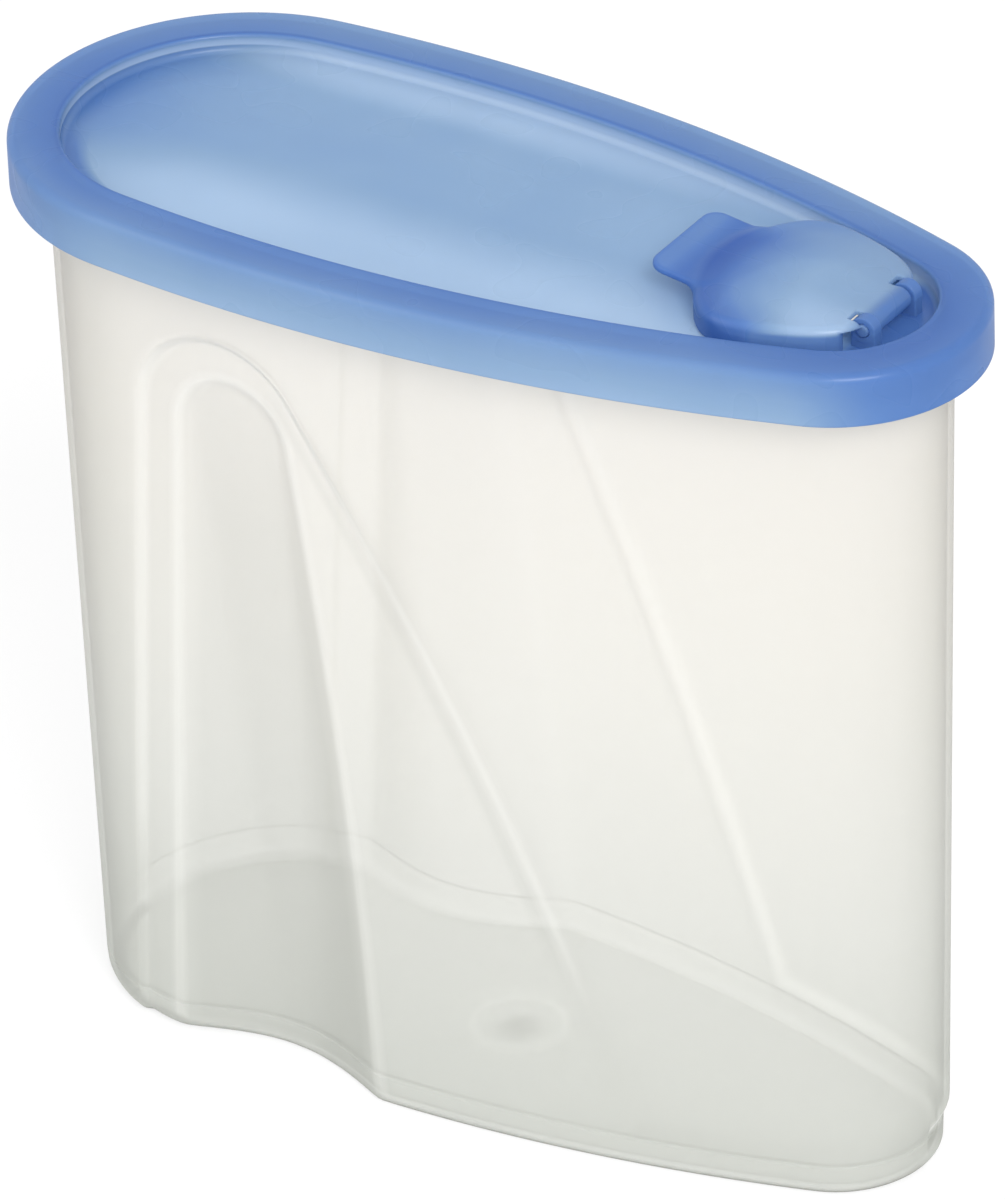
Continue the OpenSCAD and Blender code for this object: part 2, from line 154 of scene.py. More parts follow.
# Pour flap, its hinge and its thumb tab
FLAP_RISE = 2.6
FLAP_CROWN = 0.6
FLAP_ROUND = 2.0
FLAP_SIDE_GAP = 2.2
FLAP_TAIL_R = 31.5
FLAP_NOSE_R = 26.5
FLAP_LEN = 45.7
HINGE_BACK = 21.2
KNUCKLE_R = 2.4
PIN_R = 1.5
EAR_IN = 7.0
EAR_T = 3.0
EAR_WALL = 1.5
EAR_GAP = 0.45
TAB_LEN = 11.0
TAB_W = 27.0
TAB_T = 1.7
TAB_ROUND = 4.0
TAB_TILT = 8.0
TAB_ROOT = 5.0
COLLAR_H = 1.6
COLLAR_T = 1.2
COLLAR_GAP = 0.9
COLLAR_FILLET = 0.6
COLLAR_ROUND = 0.5
MOUTH_BACK = 7.0

# Radii where the forms of the flap and the ears meet, and how fine their meshes are
SHARP_R = 0.3
HOLLOW_R = 0.8
SHELL_R = 0.4
LOW_EDGE_R = 0.5
KNUCKLE_BLEND_R = 0.5
TAB_EDGE_R = 0.6
TAB_BLEND_R = 2.4
OUTLINE_BLEND_R = 5.0
EAR_EDGE_R = 0.25
LID_POINT_GAP = 0.8
FLAP_CELL = 0.34
EAR_CELL = 0.22
FLAP_REACH = 24.5
SLOPE_STEP = 0.01

# Centres and joints of the four arcs
TAIL_X = -LID_LEN / 2 + TAIL_R
NOSE_X = LID_LEN / 2 - NOSE_R
SPAN = NOSE_X - TAIL_X
TAIL_REACH, NOSE_REACH = SIDE_R - TAIL_R, SIDE_R - NOSE_R
SIDE_X = TAIL_X + (TAIL_REACH ** 2 - NOSE_REACH ** 2 + SPAN ** 2) / (2 * SPAN)
SIDE_Y = math.sqrt(TAIL_REACH ** 2 - (SIDE_X - TAIL_X) ** 2)
TAIL_ANGLE = math.atan2(SIDE_Y, TAIL_X - SIDE_X)
NOSE_ANGLE = math.atan2(SIDE_Y, NOSE_X - SIDE_X)

# The container's outer wall, measured in from the lid's outline
WALL_IN = RIM_W - LID_T - PLUG_GAP - WALL_T
BODY_TAIL_R, BODY_NOSE_R, BODY_SIDE_R = TAIL_R - WALL_IN, NOSE_R - WALL_IN, SIDE_R - WALL_IN
TAIL_JOIN_X = TAIL_X + math.cos(TAIL_ANGLE) * BODY_TAIL_R
NOSE_JOIN_X = NOSE_X + math.cos(NOSE_ANGLE) * BODY_NOSE_R
TAIL_TIP_X = TAIL_X - BODY_TAIL_R
NOSE_TIP_X = NOSE_X + BODY_NOSE_R
BODY_LEN = NOSE_TIP_X - TAIL_TIP_X
BODY_HALF_W = BODY_SIDE_R - SIDE_Y

# Heights
SKIRT_Z = RIM_H - SKIRT_H
PANEL_Z = RIM_H - PANEL_DROP
BODY_H = RIM_H - LID_T - SEAT_GAP
FLOOR_Z = FOOT_LIFT + FLOOR_T
SHELF_ARCH_Z = RIM_H - SHELF_DROP
GRIP_ARCH_Z = RIM_H - GRIP_DROP
GRIP_TOP_Z = GRIP_ARCH_Z + GRIP_R

# The shelf and the grip in the side view
SHELF_MID_X = -LID_LEN / 2 + SHELF_X
GRIP_MID_X = -LID_LEN / 2 + GRIP_X
SWEEP_TOP_Z = SHELF_ARCH_Z + SHELF_R * math.sin(math.radians(SWEEP_FROM))
SWEEP_TOP_X = SHELF_MID_X + SHELF_R * math.cos(math.radians(SWEEP_FROM))
SWEEP_FOOT_X = LID_LEN / 2 - SWEEP_BACK
GRIP_END = 0.3 * GRIP_R
SHELF_END = GRIP_END + abs(SHELF_MID_X - GRIP_MID_X) + 4 * STEP_W
GATE_X = LID_LEN / 2 - GATE_BACK

# The rolled lip, the hinge and the flap
LIP_OUT = WALL_IN - LID_T - BEAD_OUT - BEAD_GAP
HINGE_X = LID_LEN / 2 - HINGE_BACK
FLAP_TOP_Z = RIM_H + FLAP_RISE
HINGE_Z = FLAP_TOP_Z - KNUCKLE_R
FLAP_FRONT_X = HINGE_X + KNUCKLE_R
FLAP_REAR_X = FLAP_FRONT_X - FLAP_LEN
FLAP_LOW_Z = PANEL_Z + FLAP_GAP
EAR_R = PIN_R + EAR_WALL
FLAP_EYE_X = FLAP_FRONT_X - FLAP_LEN * 0.4
MOUTH_INSET = LID_T + COLLAR_GAP + COLLAR_T
MOUTH_FRONT_X = HINGE_X - MOUTH_BACK


def mix(a, b, t):
    """Part of the way from a to b."""
    return a + (b - a) * t


def ramp(t):
    return np.clip(t, 0.0, 1.0)


def ease(t):
    """Smooth step from 0 to 1."""
    t = ramp(t)
    return t * t * (3 - 2 * t)


def new_mesh(name, points, faces, body, attributes=None):
    """A smooth-shaded piece from points in millimetres, riding on a body."""
    mesh = bpy.data.meshes.new(name)
    mesh.from_pydata((np.asarray(points) * MM).tolist(), [], faces)
    mesh.update()
    mesh.shade_smooth()
    for key, values in (attributes or {}).items():
        layer = mesh.attributes.new(key, "FLOAT", "POINT")
        layer.data.foreach_set("value", np.asarray(values, np.float32).ravel())
    piece = bpy.data.objects.new(name, mesh)
    bpy.context.scene.collection.objects.link(piece)
    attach(piece, body)
    return piece


def ring_faces(ring_count, point_count, closed):
    """Quads that join rings of equal length, the last to the first if closed."""
    faces = []
    for j in range(ring_count if closed else ring_count - 1):
        a, b = j * point_count, (j + 1) % ring_count * point_count
        for i in range(point_count):
            k = (i + 1) % point_count
            faces.append((a + i, b + i, b + k, a + k))
    return faces


# Container

def half_y(x):
    """Half width of the container's plan at x."""
    tail = np.sqrt(np.maximum(0, BODY_TAIL_R ** 2 - (x - TAIL_X) ** 2))
    side = np.sqrt(BODY_SIDE_R ** 2 - (x - SIDE_X) ** 2) - SIDE_Y
    nose = np.sqrt(np.maximum(0, BODY_NOSE_R ** 2 - (x - NOSE_X) ** 2))
    return np.where(x < TAIL_JOIN_X, tail, np.where(x < NOSE_JOIN_X, side, nose))


def plan_normal(x):
    """Outward normal of the container's plan at x, as its two parts."""
    y = half_y(x)
    tail, nose = x < TAIL_JOIN_X, x >= NOSE_JOIN_X
    nx = np.where(tail, (x - TAIL_X) / BODY_TAIL_R,
                  np.where(nose, (x - NOSE_X) / BODY_NOSE_R, (x - SIDE_X) / BODY_SIDE_R))
    ny = np.where(tail, y / BODY_TAIL_R,
                  np.where(nose, y / BODY_NOSE_R, (y + SIDE_Y) / BODY_SIDE_R))
    return nx, ny


def arch_half(r, centre_z, z, least):
    return np.sqrt(np.maximum(r ** 2 - (z - centre_z) ** 2, least ** 2))


def shelf_half(z, inset):
    return arch_half(SHELF_R - inset, SHELF_ARCH_Z, z, SHELF_END - inset)


def shelf_rear(z, inset=0.0):
    straight = SHELF_MID_X - SHELF_R + inset - SHELF_LEAN * (1 - z / SHELF_ARCH_Z)
    return np.where(z > SHELF_ARCH_Z, SHELF_MID_X - shelf_half(z, inset), straight)


def shelf_front(z, bow, inset=0.0):
    t = z / SWEEP_TOP_Z
    sweep = mix(SWEEP_FOOT_X, SWEEP_TOP_X, t) + 4 * bow * t * (1 - t) - inset
    return np.where(z > SWEEP_TOP_Z, SHELF_MID_X + shelf_half(z, inset), sweep)


def grip_rear(z):
    arch = GRIP_MID_X - arch_half(GRIP_R, GRIP_ARCH_Z, z, GRIP_END)
    return np.where(z > GRIP_ARCH_Z, arch, GRIP_MID_X - GRIP_R - GRIP_LEAN * (1 - z / GRIP_ARCH_Z))


def grip_front(z):
    arch = GRIP_MID_X + arch_half(GRIP_R, GRIP_ARCH_Z, z, GRIP_END)
    t = 1 - z / GRIP_ARCH_Z
    edge = GRIP_MID_X + GRIP_R + GRIP_SPREAD * t + 4 * GRIP_BOW * t * (1 - t)
    return np.where(z > GRIP_ARCH_Z, arch, edge)


def grip_floor(z):
    return mix(GRIP_FOOT_D, GRIP_TOP_D, z / GRIP_TOP_Z)


def grip_side(z):
    return np.minimum(grip_floor(z) * math.pi / 2 / GRIP_SLOPE, 0.49 * (grip_front(z) - grip_rear(z)))


def grip_in(x, z):
    """Distance in from the grip's edge, negative outside."""
    arch = GRIP_R - np.hypot(x - GRIP_MID_X, z - GRIP_ARCH_Z)
    return np.where(z > GRIP_ARCH_Z, arch, np.minimum(x - grip_rear(z), grip_front(z) - x))


def grip(x, z):
    """Depth of the deep grip, with its edge rounded over."""
    d = grip_in(x, z)
    rounded = (d + np.sqrt(d ** 2 + EDGE_EASE ** 2)) / 2 - EDGE_EASE ** 2 / (4 * (np.abs(d) + EDGE_EASE))
    return grip_floor(z) * np.sin(math.pi / 2 * ramp(rounded / np.maximum(grip_side(z), 1.0)))


def shelf_in(x, z, bow):
    """Distance in from the shelf's edge, negative outside."""
    arch = SHELF_R - np.hypot(x - SHELF_MID_X, z - SHELF_ARCH_Z)
    rear = np.where((z > SHELF_ARCH_Z) & (x <= SHELF_MID_X), arch, x - shelf_rear(z))
    slope = (SWEEP_TOP_X - SWEEP_FOOT_X + 4 * bow * (1 - 2 * z / SWEEP_TOP_Z)) / SWEEP_TOP_Z
    sweep = (shelf_front(z, bow) - x) / np.sqrt(1 + slope ** 2)
    front = np.where((z > SWEEP_TOP_Z) & (x > SHELF_MID_X), arch, sweep)
    return np.minimum(rear, np.maximum(front, SHELF_FOOT_H + STEP_W - z))


def shelf(x, z, bow, soft):
    """Depth of the shelf, which runs on round the foot; its step is softest low down on the sweep."""
    side = STEP_EASE + soft * ease((x - SHELF_MID_X - 10) / 15) * ease((SWEEP_TOP_Z + 10 - z) / 90)
    return SHELF_D * ease((shelf_in(x, z, bow) + side) / (STEP_W + 2 * side))


def columns(z, bow):
    """x of each column of the container's half ring at height z, from the tail tip to the nose tip."""
    a, b, c, d = shelf_rear(z) - 1, grip_rear(z) - 1, grip_front(z) + 1, shelf_front(z, bow) + 1
    a_in, d_in, s = shelf_rear(z, STEP_W) + 1, shelf_front(z, bow, STEP_W) - 1, max(grip_side(z), 2.0)
    nose_start = max(NOSE_X - BODY_NOSE_R / 3, SWEEP_FOOT_X + 2 * STEP_W)
    quarter = math.pi / 2
    parts = [[mix(TAIL_TIP_X, a, 1 - math.cos(quarter * i / 34)) for i in range(34)],
             [mix(a, a_in, i / 9) for i in range(9)],
             [mix(a_in, b, i / 8) for i in range(8)],
             [b + s * i / 18 for i in range(18)],
             [mix(b + s, c - s, i / 8) for i in range(8)],
             [c - s * (1 - i / 18) for i in range(18)],
             [mix(c, d_in, i / 26) for i in range(26)],
             [mix(d_in, d, i / 9) for i in range(9)],
             [mix(d, nose_start, i / 34) for i in range(34)],
             [mix(nose_start, NOSE_TIP_X, math.sin(quarter * i / 44)) for i in range(45)]]
    return np.array([x for part in parts for x in part])


def half_ring(feature_z, z, inset, bow, soft, step_mark):
    """Half a ring of the container, with its marks: painted highlight along the shelf's step and the grip's
    edges, and painted shade in the grip by its depth and in a line beside the step.
    """
    k = max(0.0, 1 - feature_z / SKIRT_Z)
    x = columns(feature_z, bow)
    zz = np.full_like(x, max(feature_z, 0))
    hollow = grip(x, zz)
    nx, ny = plan_normal(x)
    d = inset + hollow + shelf(x, zz, bow, soft)
    px = TAIL_TIP_X + TAIL_DRAFT * k
    px = px + (x - nx * d - TAIL_TIP_X) * (BODY_LEN - (TAIL_DRAFT + NOSE_DRAFT) * k) / BODY_LEN
    py = np.maximum(0, half_y(x) - ny * d) * (BODY_HALF_W - SIDE_DRAFT * k) / BODY_HALF_W
    # Painted highlight along the step and on the grip's edges; painted shade in the grip and in a line
    # inside the step
    step_in = shelf_in(x, zz, bow)
    step = step_mark * ease(1 - np.abs(step_in - STEP_W / 2) / (STEP_W / 2 + STEP_MARK_SPREAD))
    edge = EDGE_HIGHLIGHT * ease(1 - np.abs(grip_in(x, zz) + EDGE_HIGHLIGHT_OUT) / EDGE_HIGHLIGHT_W)
    line = LINE_SHADE * step_mark * ease(1 - np.abs(step_in - STEP_W - LINE_IN) / LINE_W)
    line = line * ease((x - SHELF_MID_X - LINE_START) / LINE_RISE)
    marks = np.column_stack([np.maximum(step, edge), HOLLOW_SHADE * ramp(hollow / HOLLOW_SHADE_FULL_D) + line])
    return np.column_stack([px, py, np.full_like(px, z)]), marks


def body_ring(feature_z, z, inset):
    """One ring of the container: its far half, then its near half."""
    far, far_marks = half_ring(feature_z, z, inset, FAR_BOW, FAR_SOFT, STEP_MARK_FAR)
    near_mark = STEP_MARK_NEAR * float(ease((feature_z - STEP_MARK_LOW_Z) / STEP_MARK_RISE))
    near, near_marks = half_ring(feature_z, z, inset, NEAR_BOW, NEAR_SOFT, near_mark)
    return np.vstack([far, near[-2:0:-1] * [1, -1, 1]]), np.vstack([far_marks, near_marks[-2:0:-1]])


def arc_steps(count):
    return [i / count for i in range(count + 1)]


def quarter_turn(count):
    """Steps round a quarter circle of radius 1: how far is left to go up, and how far it has gone in."""
    return [(1 - math.sin(math.pi / 2 * t), 1 - math.cos(math.pi / 2 * t)) for t in arc_steps(count)]


class BodyLoft:
    """The container's rings, each with its marks: its painted highlight and its painted shade."""

    def __init__(self):
        self.rings, self.marks = [], []
        foot = body_ring(0, 0, FOOT_ROUND_TAIL)[0]
        self.angle = np.arctan2(foot[:, 1], foot[:, 0] - GATE_X)

    def add(self, ring, marks=None):
        self.rings.append(ring)
        self.marks.append(np.zeros((len(ring), 2)) if marks is None else marks)

    def add_body(self, feature_z, z, inset):
        self.add(*body_ring(feature_z, z, inset))

    def circle(self, r, z):
        """A circle round the gate."""
        across, along = r * np.cos(self.angle), r * np.sin(self.angle)
        return np.column_stack([GATE_X + across, along, np.full_like(self.angle, z)])

    def add_round(self, r, z, crease_highlight=0.0, hollow=0.0):
        self.add(self.circle(r, z), np.tile([crease_highlight, hollow], (len(self.angle), 1)))

    def add_between(self, end, shares):
        start = self.rings[-1]
        for t in shares:
            self.add(mix(start, end, t))


def add_underside(loft):
    """Gate, raised middle and foot ring, out to the rounded corner of the foot."""
    # Painted shade in the gate's dimple, and a painted highlight on its ring
    for r, rise in GATE_OUTSIDE:
        loft.add_round(r * GATE_R, FOOT_LIFT - GATE_D * (1 - rise), 0.0, ease(1.2 - r))
    for r, dip, crease_highlight in ((-1.5, 0, 0), (-0.5, 0, 1), (0, RING_DIP, 1), (0.5, 0, 1), (1.5, 0, 0)):
        loft.add_round(GATE_RING_R + r, FOOT_LIFT - dip, crease_highlight * RING_HIGHLIGHT)
    whole, one_in = body_ring(0, 0, 0)[0], body_ring(0, 0, 1)[0]
    corner_r = mix(FOOT_ROUND_TAIL, FOOT_ROUND_NOSE, ramp((whole[:, 0] - TAIL_X) / (SIDE_X - TAIL_X)))

    def foot_ring(inset, z):
        ring = whole + (one_in - whole) * inset[:, None]
        ring[:, 2] = z
        return ring

    loft.add_between(foot_ring(corner_r + FOOT_RIM_W + FOOT_SLOPE_W, FOOT_LIFT), (0.2, 0.4, 0.6, 0.8))
    # Painted highlight along the far side of the foot, and painted shade under its near side and low on its
    # corner
    far = ease(whole[:, 1] / 10) * ease((whole[:, 0] - FOOT_HIGHLIGHT_FROM_X) / FOOT_HIGHLIGHT_RISE)
    near = ease(-whole[:, 1] / 6 + 0.5)
    for t in arc_steps(6):
        height = FOOT_LIFT * 0.5 * (1 + math.cos(math.pi * t))
        ring = foot_ring(corner_r + FOOT_RIM_W + FOOT_SLOPE_W * (1 - t), height)
        loft.add(ring, np.column_stack([FOOT_HIGHLIGHT * far * ease(2 * t - 1), near * ease(2 * t - 1)]))
    steps = list(zip(arc_steps(8), quarter_turn(8)))
    for t, (up, run) in steps[:0:-1]:
        crease_highlight = FOOT_HIGHLIGHT * far * ease(2 * t - 1)
        shade = near * ease((FOOT_SHADE_H - corner_r * up) / 1.2)
        loft.add(foot_ring(corner_r * run, corner_r * up), np.column_stack([crease_highlight, shade]))


def add_lip(loft):
    """Rolled lip: out under its fold, down its hanging edge, up outside and over to the mouth."""
    top, fold, half_t = BODY_H, LIP_ROUND, WALL_T / 2
    for up, run in quarter_turn(5):
        loft.add_body(SKIRT_Z, top - WALL_T - fold * up, -fold * run)
    for up, run in quarter_turn(3):
        loft.add_body(SKIRT_Z, top - WALL_T - fold * run, WALL_T - LIP_OUT + fold * up)
    for t in arc_steps(6):
        a = math.pi * t
        out = half_t - LIP_OUT + half_t * math.cos(a)
        loft.add_body(SKIRT_Z, top - LIP_H + half_t * (1 - math.sin(a)), out)
    for up, run in quarter_turn(5):
        loft.add_body(SKIRT_Z, top - fold * up, fold * run - LIP_OUT)
    for up, run in quarter_turn(5):
        loft.add_body(SKIRT_Z, top - fold * run, WALL_T - fold * up)


def add_floor(loft):
    """Fillet of the inner floor, the floor, and the gate in it."""
    for up, run in quarter_turn(8):
        loft.add_body(FOOT_ROUND_TAIL + 1, FLOOR_Z + FLOOR_ROUND * up, WALL_T + FLOOR_ROUND * run)
    loft.add_between(loft.circle(GATE_RING_R + 0.6, FLOOR_Z), (0.2, 0.4, 0.6, 0.8, 1.0))
    # Painted highlight on the gate's ring inside, and painted shade in the gate's dimple
    loft.add_round(GATE_RING_R, FLOOR_Z - RING_DIP, RING_HIGHLIGHT)
    loft.add_round(GATE_RING_R - 1.2, FLOOR_Z, FLOOR_RING_HIGHLIGHT)
    loft.add_round(GATE_RING_R - 2.4, FLOOR_Z)
    for r, dip in GATE_INSIDE:
        loft.add_round(r * GATE_R, FLOOR_Z - dip, 0.0, 5 * dip)


def make_container():
    loft = BodyLoft()
    add_underside(loft)
    wall = np.concatenate([np.arange(FOOT_ROUND_TAIL + 1, SHELF_FOOT_H - 2, 0.8),
                           np.arange(SHELF_FOOT_H - 2, SHELF_FOOT_H + 3, 0.4),
                           np.arange(SHELF_FOOT_H + 3, GRIP_ARCH_Z - 4, 1.6),
                           np.arange(GRIP_ARCH_Z - 4, SHELF_ARCH_Z + SHELF_R + 3, 0.7),
                           np.linspace(SHELF_ARCH_Z + SHELF_R + 3, SKIRT_Z, 8)])
    for z in wall:
        loft.add_body(z, z, 0)
    add_lip(loft)
    outer_count = len(loft.rings)
    for z in wall[::-1]:
        loft.add_body(z, z, WALL_T)
    add_floor(loft)
    points, marks, count = np.vstack(loft.rings), np.vstack(loft.marks), len(loft.rings[0])
    ring_count = len(loft.rings)
    faces = ring_faces(ring_count, count, False)
    faces.append(tuple(range(count - 1, -1, -1)))
    faces.append(tuple(range((ring_count - 1) * count, ring_count * count)))
    inside = np.repeat([0.0, 1.0], [outer_count * count, (ring_count - outer_count) * count])
    piece = new_mesh("container_shell", points, faces, "container",
                     {"crease_highlight": marks[:, 0], "hollow": marks[:, 1], "inside": inside})
    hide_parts("container_body")
    return piece


# Lid

def outline(spacing):
    """Points and outward normals round the lid's plan, from its four arcs."""
    arcs = ((NOSE_X, 0, NOSE_R, -NOSE_ANGLE, NOSE_ANGLE),
            (SIDE_X, -SIDE_Y, SIDE_R, NOSE_ANGLE, TAIL_ANGLE),
            (TAIL_X, 0, TAIL_R, TAIL_ANGLE, 2 * math.pi - TAIL_ANGLE),
            (SIDE_X, SIDE_Y, SIDE_R, -TAIL_ANGLE, -NOSE_ANGLE))
    points, normals = [], []
    for cx, cy, r, start, end in arcs:
        steps = max(8, int(round(r * (end - start) / spacing)))
        for i in range(steps):
            a = mix(start, end, i / steps)
            normals.append((math.cos(a), math.sin(a)))
            points.append((cx + (r - OUTLINE_IN) * math.cos(a), cy + (r - OUTLINE_IN) * math.sin(a)))
    return np.array(points), np.array(normals)


def arc_reach(direction, cx, cy, r):
    """Distance from the flap's eye to a circle, along each direction."""
    m = np.array([cx - FLAP_EYE_X, cy])
    along = direction @ m
    return along + np.sqrt(along ** 2 - m @ m + r ** 2)


def mouth_curve(direction, grow):
    """The pour mouth's outline seen from its eye, grown by the collar's thickness or not."""
    inset = MOUTH_INSET - grow
    long_r = SIDE_R - RIM_W - FLAP_SIDE_GAP - inset
    reaches = [arc_reach(direction, FLAP_REAR_X + FLAP_TAIL_R, 0, FLAP_TAIL_R - inset),
               arc_reach(direction, FLAP_FRONT_X - FLAP_NOSE_R, 0, FLAP_NOSE_R - inset),
               arc_reach(direction, SIDE_X, -SIDE_Y, long_r),
               arc_reach(direction, SIDE_X, SIDE_Y, long_r),
               (MOUTH_FRONT_X + grow - FLAP_EYE_X) / np.maximum(direction[:, 0], 1e-3)]
    power = 16
    reach = sum(r ** -power for r in reaches) ** (-1 / power)
    return np.column_stack([FLAP_EYE_X + direction[:, 0] * reach, direction[:, 1] * reach])


def turn(centre_in, centre_z, r, start, end, count):
    """Points of an arc in the lid's section, as (inset, height)."""
    return [(centre_in + r * math.cos(math.radians(mix(start, end, i / count))),
             centre_z + r * math.sin(math.radians(mix(start, end, i / count)))) for i in range(count + 1)]


# How deep the lid's blue looks, from 0 to 1: its layers lie over each other most at the ends; painted shade
# deepens it under the hinge and along the panel's near edge, and painted light pales it on the rim's inner
# wall and along the panel's sides
TONE_SKIRT = 0.22
TONE_RIM = 0.5
TONE_LINE = 0.74
TONE_COVE = 0.0
TONE_PANEL = 0.26
TONE_WALL_SHADE = 0.42
NOSE_TONE_X = 70.0
NOSE_TONE_RUN = 45.0
TAIL_TONE_X = -65.0
TAIL_TONE_RUN = 50.0


def panel_tone(x, y):
    """Deepest by the tail, with painted shade under the hinge, partly the hinge's own layers, and painted
    light along both sides.
    """
    # Painted light: paler along the near side and along the far cove
    sides = 0.2 * ease((-y - 2) / 24) + 0.2 * ease((y - 24) / 12)
    tail = 0.5 * np.exp(-np.maximum(x + 110, 0) / 16)
    # Painted shade under the hinge, partly the hinge's own layers
    return TONE_PANEL - sides + tail + 0.6 * ease((x - FLAP_FRONT_X + 9) / 6)


class LidRings:
    """Rings round the lid, each drawn in from its outline, with how deep its blue looks."""

    def __init__(self):
        self.points, self.normals = outline(LID_POINT_GAP)
        self.rings, self.tones = [], []
        x, y = self.points.T
        nose = ease((x - NOSE_TONE_X) / NOSE_TONE_RUN)
        self.tail = ease((TAIL_TONE_X - x) / TAIL_TONE_RUN)
        self.rim = TONE_RIM + 0.2 * nose + 0.05 * self.tail - 0.1 * ease(y / 30)
        self.skirt = TONE_SKIRT + 0.5 * ease((x - 92) / 26) + 0.45 * self.tail
        self.line = TONE_LINE + 0.08 * nose + 0.08 * self.tail
        self.near_shade = TONE_WALL_SHADE * ease((-self.normals[:, 1] - 0.3) / 0.4)

    def at(self, inset):
        return self.points - self.normals * inset

    def add(self, xy, z, tone):
        self.rings.append(np.column_stack([xy, np.broadcast_to(z, len(xy))]))
        self.tones.append(np.broadcast_to(tone, len(xy)).astype(float))

    def add_section(self, section, first_tone, last_tone):
        """Rings at the section's insets and heights, their tone going from the first to the last."""
        for i, (inset, z) in enumerate(section):
            self.add(self.at(inset), z, mix(first_tone, last_tone, i / max(1, len(section) - 1)))


def add_rim(lid):
    """Skirt, rounded top edge, flat rim and inner edge, down to the panel's fillet."""
    skirt, rim, line = lid.skirt, lid.rim, lid.line
    e, line_in = EDGE_ROUND, RIM_W - RIM_INNER_ROUND
    under_round = RIM_H - RIM_ROUND - 0.2
    lid.add_section(turn(e, SKIRT_Z + e, e, 270, 180, 4), rim, skirt)
    lid.add_section([(0, mix(SKIRT_Z + 2 * e, under_round - 5, t)) for t in arc_steps(5)],
                    skirt, mix(skirt, rim, 0.2))
    lid.add_section([(0, mix(under_round - 4.4, under_round, t)) for t in arc_steps(6)],
                    mix(skirt, rim, 0.2), mix(skirt, rim, 0.5))
    lid.add_section(turn(RIM_ROUND, RIM_H - RIM_ROUND, RIM_ROUND, 180, 90, 8), mix(skirt, rim, 0.5), rim)
    lid.add_section([(mix(RIM_ROUND + 0.4, line_in - 0.9, t), RIM_H) for t in arc_steps(6)], rim, rim + 0.16)
    lid.add_section([(mix(line_in - 0.6, line_in - 0.1, t), RIM_H) for t in arc_steps(3)],
                    mix(rim, line, 0.75), line)
    inner_z, fillet_z = RIM_H - RIM_INNER_ROUND, PANEL_Z + PANEL_FILLET
    # The inner wall fades to the palest blue towards the cove: painted light
    lid.add_section(turn(line_in, inner_z, RIM_INNER_ROUND, 90, 0, 6), line, mix(line, TONE_COVE, 0.6))
    lid.add_section([(RIM_W, mix(inner_z, fillet_z, t)) for t in (0.15, 0.4, 0.8)],
                    TONE_COVE + 0.2, TONE_COVE)
    edge_x, edge_y = lid.at(RIM_W + PANEL_FILLET).T
    lid.add_section(turn(RIM_W + PANEL_FILLET, PANEL_Z + PANEL_FILLET, PANEL_FILLET, 180, 270, 8),
                    TONE_COVE + 0.5 * lid.tail, panel_tone(edge_x, edge_y) + lid.near_shade)


def add_panel(lid):
    """Panel, the collar of the pour mouth and the panel's underside."""
    edge = lid.at(RIM_W + PANEL_FILLET)
    toward = edge - [FLAP_EYE_X, 0]
    direction = toward / np.linalg.norm(toward, axis=1)[:, None]
    collar_out, collar_in = mouth_curve(direction, COLLAR_T), mouth_curve(direction, 0)
    foot = mouth_curve(direction, COLLAR_T + COLLAR_FILLET)
    for i in range(1, 33):
        xy = mix(edge, foot, (i / 32) ** 1.8)
        shade = lid.near_shade * ease((5.5 - np.linalg.norm(xy - edge, axis=1)) / 3.5)
        lid.add(xy, PANEL_Z, panel_tone(xy[:, 0], xy[:, 1]) + shade)
    for t in arc_steps(4)[1:]:
        a = math.pi / 2 * t
        lid.add(mix(foot, collar_out, math.sin(a)), PANEL_Z + COLLAR_FILLET * (1 - math.cos(a)), TONE_PANEL)
    out_to_in = collar_in - collar_out
    for t in arc_steps(6):
        a = math.pi * t
        lid.add(collar_out + out_to_in * 0.5 * (1 - math.cos(a)),
                PANEL_Z + COLLAR_H - COLLAR_ROUND * (1 - math.sin(a)), TONE_SKIRT)
    under = PANEL_Z - LID_T
    mouth_edge = mix(collar_in, foot, 0.15)
    lid.add(collar_in, under + 0.3, TONE_PANEL)
    lid.add(mouth_edge, under, TONE_PANEL)
    back = lid.at(RIM_W + 0.4)
    for i in range(1, 13):
        lid.add(mix(mouth_edge, back, i / 12), under, TONE_PANEL)


def add_plug(lid):
    """Plug wall, underside of the rim and the skirt's inner face with its bead."""
    under, low, bead = PANEL_Z - LID_T, RIM_H - PLUG_H, SKIRT_Z + BEAD_UP
    lid.add_section([(RIM_W, under - 0.4), (RIM_W, mix(under, low, 0.5)), (RIM_W, low + 0.6)],
                    TONE_RIM, TONE_RIM)
    lid.add_section(turn(RIM_W - LID_T / 2, low + 0.5, LID_T / 2, 0, -180, 6), TONE_RIM, TONE_RIM)
    lid.add_section([(RIM_W - LID_T, mix(low + 1, RIM_H - LID_T - 0.5, t)) for t in arc_steps(4)],
                    TONE_RIM, TONE_RIM)
    lid.add_section([(mix(RIM_W - LID_T - 0.5, LID_T + 0.5, t), RIM_H - LID_T) for t in arc_steps(4)],
                    TONE_RIM, TONE_RIM)
    lid.add_section([(LID_T, RIM_H - LID_T - 0.5), (LID_T, mix(bead, RIM_H, 0.5)),
                     (LID_T, bead + 2 * BEAD_OUT + 0.2), (LID_T + BEAD_OUT * 0.9, bead + BEAD_OUT + 0.1),
                     (LID_T + BEAD_OUT, bead + BEAD_OUT / 2), (LID_T + BEAD_OUT * 0.9, bead),
                     (LID_T, bead - BEAD_OUT), (LID_T, SKIRT_Z + 0.4)], TONE_SKIRT, TONE_SKIRT)
    lid.add_section([(LID_T - 0.1, SKIRT_Z + 0.1), (LID_T - 0.4, SKIRT_Z)], TONE_SKIRT, TONE_RIM)


